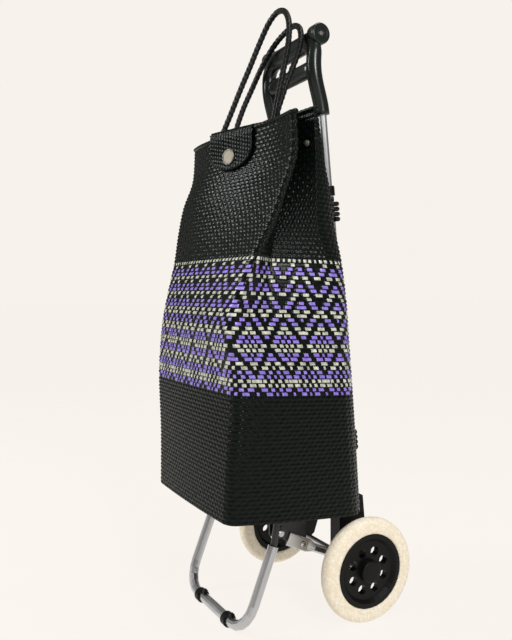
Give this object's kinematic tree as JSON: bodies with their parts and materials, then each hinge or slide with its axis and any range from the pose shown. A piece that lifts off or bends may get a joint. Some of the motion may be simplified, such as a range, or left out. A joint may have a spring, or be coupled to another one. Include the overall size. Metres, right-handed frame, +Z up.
{
  "type": "shopping trolley",
  "caption": "Two-wheeled shopping trolley: a tall woven bag with rope handles and a snap tab on a leaning tube frame with a sliding handle and a folding stand.",
  "frame": {"origin": "on the ground, under the middle of the overall width and depth, measured without the rope handles", "axes": "+Z up, +X along the axle to the right-hand wheel, +Y towards the back, where the uprights and the wheels are"},
  "size_m": [0.3092, 0.3274, 0.9861],
  "materials": {
    "steel_tube": "bright zinc-plated steel tube",
    "black_steel": "satin black paint on steel",
    "fastener_steel": "plated rivets, bolts and screws",
    "pale_brass": "pale plated press studs",
    "grip_plastic": "glossy black moulded handle",
    "black_plastic": "black moulded plastic",
    "foam_tyre": "cream solid foam tyre",
    "woven_plastic": "hand-woven black plastic cord with a violet and cream band",
    "braided_rope": "braided black plastic rope"
  },
  "bodies": {
    "frame": {"axle": "steel_tube", "axle_spacer_left": "black_plastic", "axle_spacer_right": "black_plastic", "bag_shell": "woven_plastic", "base_block_left": "black_plastic", "base_block_right": "black_plastic", "brace_left": "steel_tube", "brace_right": "steel_tube", "brace_rivet_left": "fastener_steel", "brace_rivet_right": "fastener_steel", "collar_left": "black_plastic", "collar_right": "black_plastic", "gusset_snap_left": "pale_brass", "gusset_snap_right": "pale_brass", "pivot_bolt_left": "fastener_steel", "pivot_bolt_right": "fastener_steel", "pivot_bracket_left": "black_steel", "pivot_bracket_right": "black_steel", "platform": "black_plastic", "rope_back": "braided_rope", "rope_front": "braided_rope", "snap_socket": "pale_brass", "tie_lower_left": "braided_rope", "tie_lower_right": "braided_rope", "tie_upper_left": "braided_rope", "tie_upper_right": "braided_rope", "upright_left": "steel_tube", "upright_right": "steel_tube"},
    "wheel_left": {"hub_left": "black_plastic", "tyre_left": "foam_tyre", "hub_cap_left": "black_plastic"},
    "wheel_right": {"hub_right": "black_plastic", "tyre_right": "foam_tyre", "hub_cap_right": "black_plastic"},
    "handle": {"handle_grip": "grip_plastic", "handle_screw_left": "fastener_steel", "handle_screw_right": "fastener_steel", "inner_tube_left": "steel_tube", "inner_tube_right": "steel_tube"},
    "stand": {"stand_tube": "steel_tube", "strut_left": "black_steel", "strut_right": "black_steel", "foot_clip_left": "black_plastic", "foot_clip_right": "black_plastic", "bar_plug_left": "black_plastic", "bar_plug_right": "black_plastic"},
    "tab": {"closing_tab": "woven_plastic", "snap_cap": "pale_brass"}
  },
  "joints": [
    {"name": "wheel_left_spin", "type": "hinge", "parent": "frame", "child": "wheel_left", "pos_m": [-0.13885, 0.08125, 0.0825], "axis": [1, 0, 0], "continuous": true},
    {"name": "wheel_right_spin", "type": "hinge", "parent": "frame", "child": "wheel_right", "pos_m": [0.13885, 0.08125, 0.0825], "axis": [1, 0, 0], "continuous": true},
    {"name": "handle_slide", "type": "slide", "parent": "frame", "child": "handle", "axis": [0, -0.0958, 0.9954], "range_m": [-0.1, 0]},
    {"name": "stand_fold", "type": "hinge", "parent": "frame", "child": "stand", "pos_m": [0, -0.05375, 0.152], "axis": [1, 0, 0], "range_deg": [0, 72]},
    {"name": "tab_hinge", "type": "hinge", "parent": "frame", "child": "tab", "pos_m": [-0.006, -0.01248, 0.7903], "axis": [-1, 0, 0], "range_deg": [0, 95]}
  ]
}
